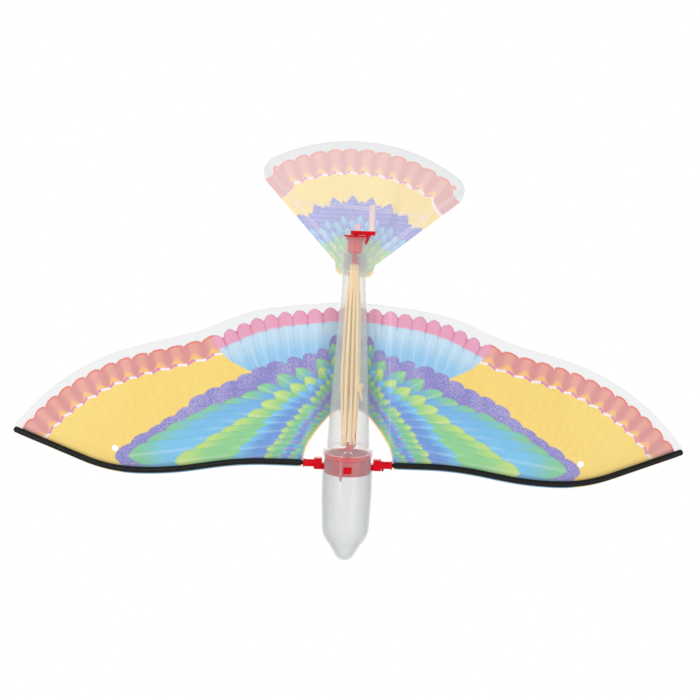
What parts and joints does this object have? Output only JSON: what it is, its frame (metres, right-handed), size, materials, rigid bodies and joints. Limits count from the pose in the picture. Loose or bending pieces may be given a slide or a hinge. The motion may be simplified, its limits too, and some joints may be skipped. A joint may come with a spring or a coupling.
{
  "type": "rubber-powered flapping toy bird",
  "caption": "Toy bird with a clear tapered tube body, flapping printed-film wings on black spars, a film tail fan and a rubber motor wound at the rear.",
  "frame": {"origin": "centre of the red ring that carries the wings, on the tube's axis, where the hand holds the bird", "axes": "+X to the bird's left wing tip, +Y to the tail, +Z to its back; nose at -Y"},
  "size_m": [0.406, 0.2552, 0.0421],
  "materials": {
    "clear_shell": "clear moulded plastic, glossy",
    "red_plastic": "glossy red moulded plastic",
    "black_rod": "smooth black rod",
    "black_sleeve": "satin black soft sleeve",
    "printed_film": "printed clear film, glossy, translucent",
    "handle_plastic": "milky translucent plastic tube",
    "latex": "tan natural rubber",
    "steel": "plain steel"
  },
  "bodies": {
    "fuselage": {"fuselage_tube": "clear_shell", "nose_shell": "clear_shell", "frame_ring": "red_plastic", "hinge_pin_left": "steel", "hinge_pin_right": "steel", "wing_film_centre": "printed_film", "film_rivet_front": "clear_shell", "film_rivet_rear": "clear_shell", "rear_plug": "red_plastic"},
    "wing_left": {"wing_lever_left": "red_plastic", "spar_rod_left": "black_rod", "spar_sleeve_left": "black_sleeve", "spar_tip_cap_left": "black_sleeve", "wing_film_left": "printed_film"},
    "wing_right": {"wing_lever_right": "red_plastic", "spar_rod_right": "black_rod", "spar_sleeve_right": "black_sleeve", "spar_tip_cap_right": "black_sleeve", "wing_film_right": "printed_film"},
    "crank": {"crank_disc": "red_plastic", "thrust_washer": "steel", "front_hook": "red_plastic", "rubber_loops_front": "latex", "rubber_knot": "latex"},
    "winder": {"winder_shaft": "red_plastic", "winder_arm": "red_plastic", "rubber_loops_rear": "latex"},
    "handle": {"handle_sleeve": "handle_plastic"},
    "tail": {"tail_collar": "clear_shell", "tail_film": "printed_film", "tail_rivets": "clear_shell"}
  },
  "joints": [
    {"name": "flap_left", "type": "hinge", "parent": "fuselage", "child": "wing_left", "pos_m": [0.011, 0, 0], "axis": [0, -1, 0], "range_deg": [-20, 20]},
    {"name": "flap_right", "type": "hinge", "parent": "fuselage", "child": "wing_right", "pos_m": [-0.011, 0, 0], "axis": [0, 1, 0], "range_deg": [-20, 20]},
    {"name": "crank_spin", "type": "hinge", "parent": "fuselage", "child": "crank", "pos_m": [0, 0, 0], "axis": [0, 1, 0], "range_deg": [-90, 90]},
    {"name": "winder_spin", "type": "hinge", "parent": "fuselage", "child": "winder", "pos_m": [0, 0.14, 0], "axis": [0, 1, 0], "continuous": true},
    {"name": "handle_spin", "type": "hinge", "parent": "winder", "child": "handle", "pos_m": [-0.00952, 0.1495, -0.00444], "axis": [0, 1, 0], "continuous": true},
    {"name": "tail_trim", "type": "hinge", "parent": "fuselage", "child": "tail", "pos_m": [0, 0.1234, 0], "axis": [0, 1, 0], "range_deg": [-20, 20]}
  ],
  "couplings": [
    {"joint": "flap_right", "follows": "flap_left", "ratio": 1},
    {"joint": "crank_spin", "follows": "flap_left", "ratio": 4.5}
  ]
}
